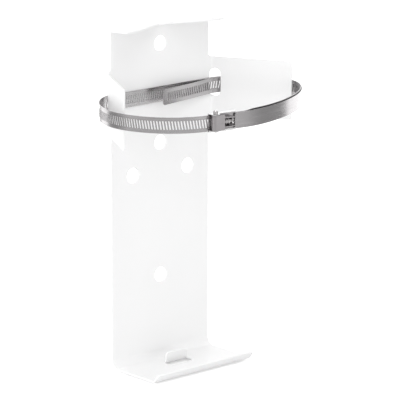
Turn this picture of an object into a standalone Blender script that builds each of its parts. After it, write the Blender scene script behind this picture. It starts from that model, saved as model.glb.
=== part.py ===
"""Cylinder wall bracket: one folded sheet with a quick-release strap clamp.

Metres, +Z up. The origin is the middle of the plate's rear face. The wall is the plane Y = 0
and the bracket stands in front of it, towards -Y. Heights in the sizes below are measured
from the underside of the shelf.
"""
import math

import bmesh
import bpy
from mathutils import Matrix, Vector
from mathutils.geometry import interpolate_bezier

# Sheet and plate
SHEET = 0.0019
PLATE_WIDTH = 0.117
PLATE_HEIGHT = 0.315
EDGE_CORNER = 0.002

# Top lip with its V notch
LIP_DEPTH = 0.0225
LIP_RADIUS = 0.002
LIP_ANGLE = math.radians(87)
NOTCH_MARGIN = 0.012
NOTCH_DEPTH = 0.0225
NOTCH_ROUND = 0.01
NOTCH_SHOULDER = 0.03

# Mounting holes: the top one by its drop from the top edge, the others by height
HOLE_DIAMETER = 0.0143
TOP_HOLE_DROP = 0.0188
UPPER_HOLE_HEIGHT = 0.2044
PAIR_HOLE_HEIGHT = 0.178
PAIR_HOLE_SPACING = 0.066
LOWER_HOLE_HEIGHT = 0.0797

# Wings
WING_BOTTOM = 0.222
WING_HEIGHT = 0.0545
WING_LENGTH = 0.0777
WING_ANGLE = math.radians(61.5)
WING_RADIUS = 0.0025
WING_OUTSET = 0.0037
WING_CORNER = 0.003
WING_FILLET = 0.004

# Strap openings, folded with the wings, by the rise of their middle above the wings' bottom
OPENING_WIDTH = 0.0107
OPENING_HEIGHT = 0.0261
OPENING_RISE = 0.0305
OPENING_INSET = 0.0022

# Shelf, its front lip and its tab
SHELF_RADIUS = 0.0075
SHELF_FLAT = 0.056
SHELF_LIP_LENGTH = 0.0095
SHELF_LIP_RADIUS = 0.003
SHELF_LIP_ANGLE = math.radians(55)
SHELF_CORNER = 0.003
TAB_DISTANCE = 0.019
TAB_WIDTH = 0.025
TAB_HEIGHT = 0.0095
TAB_RADIUS = 0.0015
TAB_CORNER = 0.003
TAB_GAP = 0.0007

# Strap, by its rise above the bottom of the openings
STRAP_WIDTH = 0.0143
STRAP_THICKNESS = 0.0006
STRAP_RISE = 0.00355
STRAP_PLAIN_LENGTH = 0.2
STRAP_END_CORNER = 0.0025
STRAP_END_COLUMNS = (0, 0.15, 0.5, 1)
SLOT_PITCH = 0.00265
SLOT_WIDTH = 0.0012
SLOT_HEIGHT = 0.0073
SLOT_LEAN = math.radians(10)
TAIL_END_X = -0.0075
TAIL_SPLAY = 0.2
TAIL_BEND = 0.008

# Strap loop, by how far it stands off the wing tips
LOOP_CLEAR_LEFT = 0.0067
LOOP_CLEAR_RIGHT = 0.0045
LOOP_WIDEST_LEFT = 0.0042
LOOP_WIDEST_RIGHT = 0.0082
SIDE_PULL = 0.034
OPENING_PULL = 0.014
FRONT_LEFT_PULL = 0.034
CLAMP_LEFT_PULL = 0.022
FRONT_RIGHT_PULL = 0.042
CLAMP_RIGHT_PULL = 0.044

# Clamp
CLAMP_START_X = -0.0555
CLAMP_REACH = 0.0593
CLAMP_ANGLE = math.radians(-9)
CLAMP_SHEET = 0.0007
CLAMP_LIFT = 0.001
SADDLE_LENGTH = 0.0345
FLANGE_RISE = 0.0027
TONGUE_WIDTH = 0.011
PLAIN_END_PLACE = 0.026
EAR_ROUND = 0.003
PIN_RADIUS = 0.0018
PIN_PLACE = 0.0042
PIN_HEAD_RADIUS = 0.0023
PIN_HEAD_HEIGHT = 0.003
PIN_HEAD_DOME = 0.001
PIN_TAIL_HEIGHT = 0.0005
EYE_WALL = 0.0014
LEAF_END = 0.0119
HOUSING_INSET = 0.0005
HOUSING_END = 0.0219
YOKE_PLACE = 0.0189
YOKE_THICKNESS = 0.0006
WORM_RADIUS = 0.0033
THREAD_DEPTH = 0.001
THREAD_CREST = 1.6
THREAD_TURN = 0.25
NECK_RADIUS = 0.002
HEAD_LENGTH = 0.0023
HEAD_CHAMFER = 0.0005
DRIVE_SLOT_WIDTH = 0.0011
DRIVE_SLOT_DEPTH = 0.0013

# Clearances
GAP = 0.0003
SIDE_GAP = 0.0003

# Derived sizes
HALF_PLATE = PLATE_WIDTH / 2
WING_TOP = WING_BOTTOM + WING_HEIGHT
OPENING_MIDDLE = WING_BOTTOM + OPENING_RISE
STRAP_MIDDLE = OPENING_MIDDLE - OPENING_HEIGHT / 2 + STRAP_RISE + STRAP_WIDTH / 2
BEND_CORNER_X = HALF_PLATE + WING_OUTSET
WING_LINE = BEND_CORNER_X - WING_RADIUS * math.tan(WING_ANGLE / 2)
WING_TIP_X = BEND_CORNER_X + WING_LENGTH * math.cos(WING_ANGLE)
WING_TIP_Y = -SHEET - WING_LENGTH * math.sin(WING_ANGLE)
LAYER = STRAP_THICKNESS + GAP
CHANNEL_BOTTOM = -STRAP_WIDTH / 2 - SIDE_GAP - CLAMP_LIFT
SADDLE_BOTTOM = CHANNEL_BOTTOM - CLAMP_SHEET
FLOOR_TOP = -STRAP_THICKNESS / 2 - GAP
ROOF_BOTTOM = STRAP_THICKNESS / 2 + GAP
ROOF_TOP = ROOF_BOTTOM + CLAMP_SHEET
PLAIN_END_OFFSET = ROOF_TOP + GAP + STRAP_THICKNESS / 2
WORM_OUT = STRAP_THICKNESS / 2 + GAP + WORM_RADIUS
LEAF_INNER = WORM_OUT + WORM_RADIUS + GAP
LEAF_OUTER = LEAF_INNER + CLAMP_SHEET
EYE_RADIUS = PIN_RADIUS + GAP + EYE_WALL
PIN_OUT = LEAF_OUTER - EYE_RADIUS
CHEEK_INNER = WORM_RADIUS + SIDE_GAP
CHEEK_OUTER = CHEEK_INNER + CLAMP_SHEET
HOUSING_WIDTH = STRAP_WIDTH - 2 * HOUSING_INSET
EAR_INNER = HOUSING_WIDTH / 2 + SIDE_GAP
EAR_OUTER = EAR_INNER + CLAMP_SHEET
WORM_START = PIN_PLACE + EYE_RADIUS + CLAMP_SHEET / 2 + GAP

ARC_STEP = math.radians(15)
ROUTE_STEPS = 80
HOLE_SEGMENTS = 32
BEND_STEP = math.radians(12)
FLAT_ANGLE = math.radians(0.5)


def clear_scene():
    """Start from an empty scene."""
    for obj in list(bpy.data.objects):
        bpy.data.objects.remove(obj, do_unlink=True)


def new_collection(name):
    """A collection in the scene."""
    collection = bpy.data.collections.new(name)
    bpy.context.scene.collection.children.link(collection)
    return collection


def new_material(name, colour, roughness, metallic):
    """A Principled material."""
    material = bpy.data.materials.new(name)
    material.use_nodes = True
    shader = material.node_tree.nodes["Principled BSDF"]
    shader.inputs["Base Color"].default_value = (*colour, 1)
    shader.inputs["Roughness"].default_value = roughness
    shader.inputs["Metallic"].default_value = metallic
    return material


def new_object(name, mesh, collection, material=None):
    """A named object in a collection, shaded smooth away from its sharp edges."""
    obj = bpy.data.objects.new(name, mesh)
    collection.objects.link(obj)
    if material:
        mesh.materials.append(material)
    mesh.shade_smooth()
    mesh.set_sharp_from_angle(angle=math.radians(35))
    return obj


def rounded_outline(corners):
    """Closed outline through (x, y, radius) corners, each rounded by its radius."""
    points = []
    for index, (x, y, radius) in enumerate(corners):
        corner = Vector((x, y))
        if radius <= 0:
            points.append(corner)
            continue
        back = (Vector(corners[index - 1][:2]) - corner).normalized()
        ahead = (Vector(corners[(index + 1) % len(corners)][:2]) - corner).normalized()
        half = back.angle(ahead) / 2
        sweep = math.pi - 2 * half
        if back.x * ahead.y - back.y * ahead.x > 0:
            sweep = -sweep
        centre = corner + (back + ahead).normalized() * radius / math.sin(half)
        arm = corner + back * radius / math.tan(half) - centre
        steps = max(1, math.ceil(abs(sweep) / ARC_STEP))
        for step in range(steps + 1):
            points.append(centre + Matrix.Rotation(sweep * step / steps, 2) @ arm)
    return points


def circle_outline(x, y, radius, segments=HOLE_SEGMENTS):
    """Closed round outline."""
    angles = [2 * math.pi * step / segments for step in range(segments)]
    return [Vector((x + radius * math.cos(a), y + radius * math.sin(a))) for a in angles]


def flat_blank(name, outlines, thickness):
    """Mesh of a flat plate in XY: the first outline is its edge, the others are holes."""
    curve = bpy.data.curves.new(name, "CURVE")
    curve.dimensions = "2D"
    curve.fill_mode = "BOTH"
    curve.extrude = thickness / 2
    for outline in outlines:
        spline = curve.splines.new("POLY")
        spline.points.add(len(outline) - 1)
        spline.use_cyclic_u = True
        for point, place in zip(spline.points, outline):
            point.co = (place.x, place.y, 0, 1)
    obj = bpy.data.objects.new(name, curve)
    bpy.context.scene.collection.objects.link(obj)
    view = bpy.context.evaluated_depsgraph_get()
    mesh = bpy.data.meshes.new_from_object(obj.evaluated_get(view))
    bpy.data.objects.remove(obj, do_unlink=True)
    bpy.data.curves.remove(curve)
    work = bmesh.new()
    work.from_mesh(mesh)
    bmesh.ops.remove_doubles(work, verts=work.verts, dist=1e-6)
    bmesh.ops.recalc_face_normals(work, faces=work.faces)
    work.to_mesh(mesh)
    work.free()
    mesh.name = name
    return mesh


def fold(run, depth, radius, angle):
    """Bend a sheet towards its front face.

    run is the way past the bend line along the flat sheet, depth the way behind its front face.
    """
    if run <= 0:
        return run, depth
    arc = radius * angle
    turned = min(run, arc) / radius
    straight = max(run - arc, 0)
    along = (radius + depth) * math.sin(turned) + straight * math.cos(turned)
    behind = (radius + depth) * math.cos(turned) - radius - straight * math.sin(turned)
    return along, behind


def crease_lines(start, radius, angle):
    """Places of the cuts that let a flat sheet follow one bend."""
    steps = math.ceil(angle / BEND_STEP)
    return [start + radius * angle * step / steps for step in range(steps + 1)]


def crease(work, axis, places):
    """Cut a flat sheet across an axis at each place."""
    for place in places:
        normal = Vector((0, 0, 0))
        normal[axis] = 1
        bmesh.ops.bisect_plane(
            work,
            geom=work.verts[:] + work.edges[:] + work.faces[:],
            dist=1e-7,
            plane_co=normal * place,
            plane_no=normal,
        )


def shelf_run(distance):
    """Way along the flat sheet, past the shelf's bend line, to a distance in front of the plate."""
    return distance - SHELF_RADIUS + SHELF_RADIUS * math.pi / 2


# Lines of the flat sheet, measured as heights before it is folded
SHELF_LINE = SHEET + SHELF_RADIUS
TOP_LINE = PLATE_HEIGHT - SHEET - LIP_RADIUS
BLANK_TOP = TOP_LINE + LIP_RADIUS * LIP_ANGLE + LIP_DEPTH - LIP_RADIUS
SHELF_LIP_LINE = shelf_run(SHELF_FLAT)
BLANK_BOTTOM = SHELF_LINE - SHELF_LIP_LINE - SHELF_LIP_LENGTH
TAB_LINE = shelf_run(TAB_DISTANCE)
TAB_LENGTH = TAB_HEIGHT - TAB_RADIUS + TAB_RADIUS * math.pi / 2
WINDOW_END = TAB_LINE + TAB_LENGTH + TAB_GAP
BLANK_TIP = WING_LINE + WING_RADIUS * WING_ANGLE + WING_LENGTH - (BEND_CORNER_X - WING_LINE)


def blank_edge():
    """Outer edge of the flat sheet, from its right half and the mirror image of that."""
    right = [
        (HALF_PLATE, BLANK_BOTTOM, SHELF_CORNER),
        (HALF_PLATE, WING_BOTTOM, WING_FILLET),
        (BLANK_TIP, WING_BOTTOM, WING_CORNER),
        (BLANK_TIP, WING_TOP, WING_CORNER),
        (HALF_PLATE, WING_TOP, WING_FILLET),
        (HALF_PLATE, BLANK_TOP, EDGE_CORNER),
        (HALF_PLATE - NOTCH_MARGIN, BLANK_TOP, NOTCH_SHOULDER),
    ]
    notch = [(0, BLANK_TOP - NOTCH_DEPTH, NOTCH_ROUND)]
    left = [(-x, y, radius) for x, y, radius in reversed(right)]
    return rounded_outline(right + notch + left)


def strap_opening(side):
    """Opening for the strap, across the bend line of one wing."""
    inner = BEND_CORNER_X - OPENING_INSET
    half = OPENING_HEIGHT / 2
    radius = OPENING_WIDTH / 2 * 0.999
    corners = [
        (inner, OPENING_MIDDLE - half, radius),
        (inner + OPENING_WIDTH, OPENING_MIDDLE - half, radius),
        (inner + OPENING_WIDTH, OPENING_MIDDLE + half, radius),
        (inner, OPENING_MIDDLE + half, radius),
    ]
    return rounded_outline([(side * x, y, r) for x, y, r in corners])


def tab_cut():
    """Thin cut that frees the tab on three sides."""
    root = SHELF_LINE - TAB_LINE + TAB_GAP
    tip = SHELF_LINE - TAB_LINE - TAB_LENGTH
    half = TAB_WIDTH / 2
    outside = half + TAB_GAP
    return rounded_outline([
        (outside, root, 0),
        (half, root, 0),
        (half, tip, TAB_CORNER),
        (-half, tip, TAB_CORNER),
        (-half, root, 0),
        (-outside, root, 0),
        (-outside, tip - TAB_GAP, 0),
        (outside, tip - TAB_GAP, 0),
    ])


def fold_point(x, height, depth):
    """Place of one point of the flat sheet on the folded bracket."""
    if height < SHELF_LINE:
        run = SHELF_LINE - height
        on_tab = abs(x) < TAB_WIDTH / 2 + TAB_GAP / 2 and TAB_LINE < run < WINDOW_END - TAB_GAP / 2
        if on_tab:
            extra, depth = fold(run - TAB_LINE, depth, TAB_RADIUS, math.pi / 2)
            run = TAB_LINE + extra
        elif run > SHELF_LIP_LINE:
            extra, depth = fold(run - SHELF_LIP_LINE, depth, SHELF_LIP_RADIUS, SHELF_LIP_ANGLE)
            run = SHELF_LIP_LINE + extra
        run, depth = fold(run, depth, SHELF_RADIUS, math.pi / 2)
        return Vector((x, depth - SHEET, SHELF_LINE - run))
    if height > TOP_LINE:
        run, depth = fold(height - TOP_LINE, depth, LIP_RADIUS, LIP_ANGLE)
        return Vector((x, depth - SHEET, TOP_LINE + run))
    if abs(x) > WING_LINE:
        run, depth = fold(abs(x) - WING_LINE, depth, WING_RADIUS, WING_ANGLE)
        x = math.copysign(WING_LINE + run, x)
    return Vector((x, depth - SHEET, height))


def make_bracket(collection, material):
    """The folded sheet: plate, top lip, wings, shelf with its lip and tab."""
    holes = [
        (0, PLATE_HEIGHT - TOP_HOLE_DROP),
        (0, UPPER_HOLE_HEIGHT),
        (-PAIR_HOLE_SPACING / 2, PAIR_HOLE_HEIGHT),
        (PAIR_HOLE_SPACING / 2, PAIR_HOLE_HEIGHT),
        (0, LOWER_HOLE_HEIGHT),
    ]
    outlines = [blank_edge(), strap_opening(1), strap_opening(-1), tab_cut()]
    outlines += [circle_outline(x, height, HOLE_DIAMETER / 2) for x, height in holes]
    mesh = flat_blank("bracket", outlines, SHEET)
    work = bmesh.new()
    work.from_mesh(mesh)
    wing_creases = crease_lines(WING_LINE, WING_RADIUS, WING_ANGLE)
    crease(work, 0, wing_creases + [-place for place in wing_creases])
    crease(work, 1, crease_lines(TOP_LINE, LIP_RADIUS, LIP_ANGLE))
    shelf_creases = crease_lines(0, SHELF_RADIUS, math.pi / 2)
    shelf_creases += crease_lines(SHELF_LIP_LINE, SHELF_LIP_RADIUS, SHELF_LIP_ANGLE)
    shelf_creases += crease_lines(TAB_LINE, TAB_RADIUS, math.pi / 2)
    crease(work, 1, [SHELF_LINE - place for place in shelf_creases])
    for vert in work.verts:
        vert.co = fold_point(vert.co.x, vert.co.y, SHEET / 2 - vert.co.z)
    bmesh.ops.dissolve_limit(work, angle_limit=FLAT_ANGLE, verts=work.verts, edges=work.edges)
    bmesh.ops.triangulate(work, faces=work.faces, quad_method="BEAUTY", ngon_method="BEAUTY")
    work.to_mesh(mesh)
    work.free()
    return new_object("bracket", mesh, collection, material)


def clamp_direction():
    """Direction of the strap through the clamp, seen from above."""
    return Vector((math.cos(CLAMP_ANGLE), math.sin(CLAMP_ANGLE)))


def clamp_start():
    """Left end of the clamp on the middle surface of the slotted strap, seen from above."""
    return Vector((CLAMP_START_X, WING_TIP_Y - CLAMP_REACH))


def strap_route():
    """Closed route of the inner strap layer from above, from the plain end and round to it."""
    along = clamp_direction()
    start = clamp_start()
    plain_end = start + along * PLAIN_END_PLACE
    saddle_end = start + along * SADDLE_LENGTH
    rear_y = -SHEET - GAP - STRAP_THICKNESS / 2 - LAYER
    rear_right = Vector((BEND_CORNER_X - OPENING_INSET, rear_y))
    rear_left = Vector((-rear_right.x, rear_y))
    right = Vector((WING_TIP_X + LOOP_CLEAR_RIGHT, WING_TIP_Y + LOOP_WIDEST_RIGHT))
    left = Vector((-WING_TIP_X - LOOP_CLEAR_LEFT, WING_TIP_Y + LOOP_WIDEST_LEFT))
    back = Vector((0, 1))
    aside = Vector((1, 0))
    curves = [
        (saddle_end, saddle_end + along * CLAMP_RIGHT_PULL, right - back * FRONT_RIGHT_PULL, right),
        (right, right + back * SIDE_PULL, rear_right + aside * OPENING_PULL, rear_right),
        (rear_left, rear_left - aside * OPENING_PULL, left + back * SIDE_PULL, left),
        (left, left - back * FRONT_LEFT_PULL, start - along * CLAMP_LEFT_PULL, start),
    ]
    points = [plain_end]
    for curve in curves:
        points += interpolate_bezier(*[knot.to_3d() for knot in curve], ROUTE_STEPS)
    points.append(plain_end)
    route = [Vector((point[0], point[1])) for point in points]
    tail_turn = rear_right.x
    return route, tail_turn


def route_lengths(route):
    """Running length at each point of a route."""
    lengths = [0]
    for before, after in zip(route, route[1:]):
        lengths.append(lengths[-1] + (after - before).length)
    return lengths


def smooth_step(value):
    """Ease from 0 to 1."""
    value = min(max(value, 0), 1)
    return value * value * (3 - 2 * value)


class StrapPath:
    """The strap from its plain end, once round the loop and on inside it to the tail's end."""

    def __init__(self):
        self.route, turn_x = strap_route()
        self.lengths = route_lengths(self.route)
        self.loop = self.lengths[-1]
        self.rear_start = self.lengths[2 * ROUTE_STEPS]
        self.rear_end = self.rear_start + 2 * turn_x
        self.tail_start = self.loop + self.rear_start
        self.length = self.tail_start + turn_x - TAIL_END_X

    def offset(self, distance):
        """How far the strap lies outside the inner layer's route."""
        if distance < self.loop:
            saddle = SADDLE_LENGTH - PLAIN_END_PLACE
            lowered = smooth_step((distance - saddle) / self.rear_start * 4)
            merged = smooth_step((distance - self.rear_end) / (self.loop - self.rear_end) * 2)
            return PLAIN_END_OFFSET + (LAYER - PLAIN_END_OFFSET) * lowered - LAYER * merged
        past = distance - self.tail_start
        if past <= 0:
            return 0
        return -TAIL_SPLAY * past * past / (past + TAIL_BEND)

    def base(self, distance):
        """Point and direction on the route."""
        distance = distance % self.loop
        index = 0
        while index < len(self.lengths) - 2 and self.lengths[index + 1] < distance:
            index += 1
        span = self.lengths[index + 1] - self.lengths[index]
        share = (distance - self.lengths[index]) / span
        ahead = (self.route[index + 1] - self.route[index]).normalized()
        return self.route[index].lerp(self.route[index + 1], share), ahead

    def place(self, distance):
        """Point of the strap's middle surface, seen from above."""
        point, ahead = self.base(distance)
        outward = Vector((ahead.y, -ahead.x))
        return point + outward * self.offset(distance)


def strap_columns(length):
    """Places along the strap where its mesh has a column, and which gaps between them are slots."""
    corner = [STRAP_END_CORNER * share for share in STRAP_END_COLUMNS]
    slotted = length - STRAP_PLAIN_LENGTH - 2 * STRAP_END_CORNER
    slots = int(slotted / SLOT_PITCH)
    first_slot = length - 2 * STRAP_END_CORNER - slots * SLOT_PITCH
    plain_step = 2 * SLOT_PITCH
    plain_count = round((first_slot - STRAP_END_CORNER) / plain_step)
    columns = list(corner)
    for step in range(1, plain_count):
        columns.append(STRAP_END_CORNER + (first_slot - STRAP_END_CORNER) * step / plain_count)
    is_slot = [False] * len(columns)
    for slot in range(slots):
        place = first_slot + slot * SLOT_PITCH
        is_slot[len(columns):] = [True, False]
        columns += [place, place + SLOT_WIDTH]
    columns += [length - place for place in reversed(corner)]
    is_slot += [False] * (len(columns) - len(is_slot))
    return columns, is_slot


def edge_inset(place, length):
    """How far the strap's edge draws in at the rounded corners of its ends."""
    near = min(place, length - place)
    if near >= STRAP_END_CORNER:
        return 0
    return STRAP_END_CORNER - math.sqrt(STRAP_END_CORNER ** 2 - (STRAP_END_CORNER - near) ** 2)


def make_strap(collection, material):
    """The slotted steel strap as a thin sheet that follows its path."""
    path = StrapPath()
    columns, is_slot = strap_columns(path.length)
    work = bmesh.new()
    bmesh.ops.create_grid(work, x_segments=len(columns) - 1, y_segments=3, size=1)
    work.verts.ensure_lookup_table()
    rows = [-STRAP_WIDTH / 2, -SLOT_HEIGHT / 2, SLOT_HEIGHT / 2, STRAP_WIDTH / 2]
    across = len(columns)
    for index, vert in enumerate(work.verts):
        column = index % across
        row = index // across
        place = columns[column]
        height = rows[row]
        if row in (0, 3):
            height -= math.copysign(edge_inset(place, path.length), height)
        if STRAP_END_CORNER < place < path.length - STRAP_END_CORNER:
            place -= height * math.tan(SLOT_LEAN) * (SLOT_HEIGHT / STRAP_WIDTH if row in (0, 3) else 1)
        point = path.place(place)
        vert.co = (point.x, point.y, STRAP_MIDDLE + height)
    faces = list(work.faces)
    face_columns = across - 1
    open_faces = [face for i, face in enumerate(faces) if i // face_columns == 1 and is_slot[i % face_columns]]
    spare = [
        work.verts[row * across + column]
        for column in range(across) if is_slot[column]
        for row in (0, 3)
    ]
    bmesh.ops.delete(work, geom=open_faces, context="FACES_ONLY")
    bmesh.ops.dissolve_verts(work, verts=spare)
    mesh = bpy.data.meshes.new("strap")
    work.to_mesh(mesh)
    work.free()
    strap = new_object("strap", mesh, collection, material)
    solidify = strap.modifiers.new("thickness", "SOLIDIFY")
    solidify.thickness = STRAP_THICKNESS
    solidify.offset = 0
    solidify.use_even_offset = True
    return strap


def box_mesh(name, low, high):
    """Mesh of a box between two corners."""
    work = bmesh.new()
    bmesh.ops.create_cube(work, size=1)
    low = Vector(low)
    high = Vector(high)
    for vert in work.verts:
        vert.co = low + (vert.co + Vector((0.5, 0.5, 0.5))) * (high - low)
    mesh = bpy.data.meshes.new(name)
    work.to_mesh(mesh)
    work.free()
    return mesh


def rod_mesh(name, radius, low, high, axis, segments=HOLE_SEGMENTS):
    """Mesh of a round rod from low to high, along X or Z."""
    work = bmesh.new()
    bmesh.ops.create_cone(
        work, cap_ends=True, segments=segments, radius1=radius, radius2=radius, depth=high - low
    )
    bmesh.ops.translate(work, verts=work.verts, vec=(0, 0, (low + high) / 2))
    if axis == "X":
        bmesh.ops.rotate(work, verts=work.verts, matrix=Matrix.Rotation(math.pi / 2, 3, "Y"))
    mesh = bpy.data.meshes.new(name)
    work.to_mesh(mesh)
    work.free()
    return mesh


def add_boolean(obj, tool_mesh, location, operation, cutters, parent):
    """Join or cut a piece with a hidden tool."""
    tool = bpy.data.objects.new(tool_mesh.name, tool_mesh)
    cutters.objects.link(tool)
    tool.parent = parent
    tool.location = location
    tool.hide_render = True
    tool.display_type = "WIRE"
    modifier = obj.modifiers.new(tool_mesh.name, "BOOLEAN")
    modifier.operation = operation
    modifier.object = tool
    modifier.solver = "EXACT"


def make_saddle(collection, cutters, material, clamp):
    """Channel that guides the slotted strap, with a tongue between the strap's two layers.

    Its upper side stands straight up as a flange with an ear. Its lower side first turns in
    over the strap's margin, because the clamp sits higher than the strap. In the clamp's frame
    X runs along the strap, -Y points away from the cylinder.
    """
    floor = FLOOR_TOP - CLAMP_SHEET
    flange = STRAP_THICKNESS / 2 + FLANGE_RISE
    flange_end = PLAIN_END_PLACE + CLAMP_SHEET
    ear_top = PIN_OUT + EAR_ROUND
    ear_start = PIN_PLACE - EAR_ROUND - CLAMP_SHEET
    ear_end = PIN_PLACE + EAR_ROUND + CLAMP_SHEET
    edge = [
        (0, floor, 0),
        (SADDLE_LENGTH, floor, 0),
        (SADDLE_LENGTH, ROOF_TOP, 0),
        (flange_end, ROOF_TOP, 0),
        (PLAIN_END_PLACE, flange, CLAMP_SHEET),
        (ear_end + CLAMP_SHEET, flange, CLAMP_SHEET),
        (ear_end, ear_top, EAR_ROUND),
        (ear_start, ear_top, EAR_ROUND),
        (0, flange, CLAMP_SHEET),
    ]
    outline = rounded_outline([(x, -out, radius) for x, out, radius in edge])
    pin_bore = circle_outline(PIN_PLACE, -PIN_OUT, PIN_RADIUS + GAP, 24)
    mesh = flat_blank("clamp_saddle", [outline, pin_bore], EAR_OUTER - SADDLE_BOTTOM)
    saddle = new_object("clamp_saddle", mesh, collection, material)
    saddle.parent = clamp
    saddle.location = (0, 0, (EAR_OUTER + SADDLE_BOTTOM) / 2)
    past = SADDLE_LENGTH + CLAMP_SHEET
    outside = -ear_top - CLAMP_SHEET
    below = SADDLE_BOTTOM - CLAMP_SHEET
    under = CLAMP_SHEET - floor
    tongue_start = flange_end + CLAMP_SHEET
    tongue_low = -CLAMP_LIFT - TONGUE_WIDTH / 2
    tongue_high = -CLAMP_LIFT + TONGUE_WIDTH / 2
    cuts = [
        ("strap_way", (-CLAMP_SHEET, -ROOF_BOTTOM, CHANNEL_BOTTOM), (past, -FLOOR_TOP, EAR_INNER)),
        ("housing_well", (-CLAMP_SHEET, outside, -EAR_INNER), (flange_end, 0, EAR_INNER)),
        ("lower_step", (-CLAMP_SHEET, outside, below), (flange_end, -ROOF_TOP, -EAR_OUTER)),
        ("below_tongue", (tongue_start, outside, below), (past, under, tongue_low)),
        ("above_tongue", (tongue_start, outside, tongue_high), (past, under, EAR_OUTER + CLAMP_SHEET)),
    ]
    for name, low, high in cuts:
        add_boolean(saddle, box_mesh(name, low, high), (0, 0, 0), "DIFFERENCE", cutters, clamp)
    return saddle


def make_housing(collection, cutters, material, clamp):
    """Swinging housing: an eye round the pin, a leaf over the worm, cheeks and an open half yoke."""
    meet = math.asin((LEAF_INNER - PIN_OUT) / EYE_RADIUS)
    sweep = 2 * math.pi - (math.pi / 2 - meet)
    steps = 24
    eye = []
    for step in range(steps + 1):
        angle = math.pi / 2 + sweep * step / steps
        eye.append(Vector((EYE_RADIUS * math.cos(angle), -EYE_RADIUS * math.sin(angle))))
    leaf = [
        Vector((LEAF_END - PIN_PLACE, PIN_OUT - LEAF_INNER)),
        Vector((LEAF_END - PIN_PLACE, PIN_OUT - LEAF_OUTER)),
    ]
    bore = circle_outline(0, 0, PIN_RADIUS + GAP, 24)
    mesh = flat_blank("clamp_housing", [eye + leaf, bore], HOUSING_WIDTH)
    housing = new_object("clamp_housing", mesh, collection, material)
    housing.parent = clamp
    housing.location = (PIN_PLACE, -PIN_OUT, 0)
    inner = STRAP_THICKNESS / 2 + 2 * GAP
    start = PIN_PLACE + EYE_RADIUS - CLAMP_SHEET / 2
    wall_end = WORM_START - GAP
    block = box_mesh("cheek_block", (start, -LEAF_OUTER, -CHEEK_OUTER), (HOUSING_END, -inner, CHEEK_OUTER))
    add_boolean(housing, block, (0, 0, 0), "UNION", cutters, clamp)
    worm_well = box_mesh(
        "worm_well", (wall_end, -LEAF_INNER, -CHEEK_INNER), (YOKE_PLACE, 0, CHEEK_INNER)
    )
    add_boolean(housing, worm_well, (0, 0, 0), "DIFFERENCE", cutters, clamp)
    window = box_mesh(
        "worm_window", (LEAF_END, -LEAF_OUTER - GAP, -CHEEK_INNER), (HOUSING_END + GAP, -WORM_OUT, CHEEK_INNER)
    )
    add_boolean(housing, window, (0, 0, 0), "DIFFERENCE", cutters, clamp)
    head_well = box_mesh(
        "head_well",
        (YOKE_PLACE + YOKE_THICKNESS, -WORM_OUT - GAP, -CHEEK_INNER),
        (HOUSING_END + GAP, 0, CHEEK_INNER),
    )
    add_boolean(housing, head_well, (0, 0, 0), "DIFFERENCE", cutters, clamp)
    neck_bore = rod_mesh(
        "neck_bore", NECK_RADIUS + GAP, YOKE_PLACE - GAP, YOKE_PLACE + YOKE_THICKNESS + GAP, "X"
    )
    add_boolean(housing, neck_bore, (0, -WORM_OUT, 0), "DIFFERENCE", cutters, clamp)
    return housing


def worm_radius(place, angle, thread_end):
    """Radius of the worm at a place along it and an angle round it."""
    run_out = SLOT_PITCH / 4
    full = min(place / run_out, (thread_end - place) / run_out, 1)
    turn = place / SLOT_PITCH - angle / (2 * math.pi) + THREAD_TURN
    crest = smooth_step(0.5 + THREAD_CREST / 2 * math.cos(2 * math.pi * turn))
    return WORM_RADIUS - THREAD_DEPTH + THREAD_DEPTH * crest * max(full, 0)


def make_worm(collection, cutters, material, clamp):
    """Worm screw with a helical thread, a neck in the yoke and a slotted round head."""
    thread_end = YOKE_PLACE - GAP - WORM_START
    head_start = YOKE_PLACE + YOKE_THICKNESS + GAP - WORM_START
    head_end = head_start + HEAD_LENGTH
    rings = 8 * round(thread_end / SLOT_PITCH) + 1
    sections = [(thread_end * step / (rings - 1), None) for step in range(rings)]
    sections += [
        (thread_end, NECK_RADIUS),
        (head_start, NECK_RADIUS),
        (head_start, WORM_RADIUS - HEAD_CHAMFER / 2),
        (head_start + HEAD_CHAMFER / 2, WORM_RADIUS),
        (head_end - HEAD_CHAMFER, WORM_RADIUS),
        (head_end, WORM_RADIUS - HEAD_CHAMFER),
    ]
    around = 20
    work = bmesh.new()
    bmesh.ops.create_grid(work, x_segments=len(sections) - 1, y_segments=around, size=1)
    work.verts.ensure_lookup_table()
    for index, vert in enumerate(work.verts):
        place, radius = sections[index % len(sections)]
        angle = 2 * math.pi * (index // len(sections)) / around
        if radius is None:
            radius = worm_radius(place, angle, thread_end)
        vert.co = (place, radius * math.cos(angle), radius * math.sin(angle))
    bmesh.ops.remove_doubles(work, verts=work.verts, dist=1e-6)
    bmesh.ops.holes_fill(work, edges=[edge for edge in work.edges if edge.is_boundary])
    bmesh.ops.recalc_face_normals(work, faces=work.faces)
    mesh = bpy.data.meshes.new("clamp_worm")
    work.to_mesh(mesh)
    work.free()
    worm = new_object("clamp_worm", mesh, collection, material)
    worm.parent = clamp
    worm.location = (WORM_START, -WORM_OUT, 0)
    slot_start = WORM_START + head_end - DRIVE_SLOT_DEPTH
    slot = box_mesh(
        "drive_slot",
        (slot_start, -WORM_RADIUS - GAP, -DRIVE_SLOT_WIDTH / 2),
        (slot_start + 2 * DRIVE_SLOT_DEPTH, WORM_RADIUS + GAP, DRIVE_SLOT_WIDTH / 2),
    )
    add_boolean(worm, slot, (0, -WORM_OUT, 0), "DIFFERENCE", cutters, clamp)
    return worm


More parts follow.
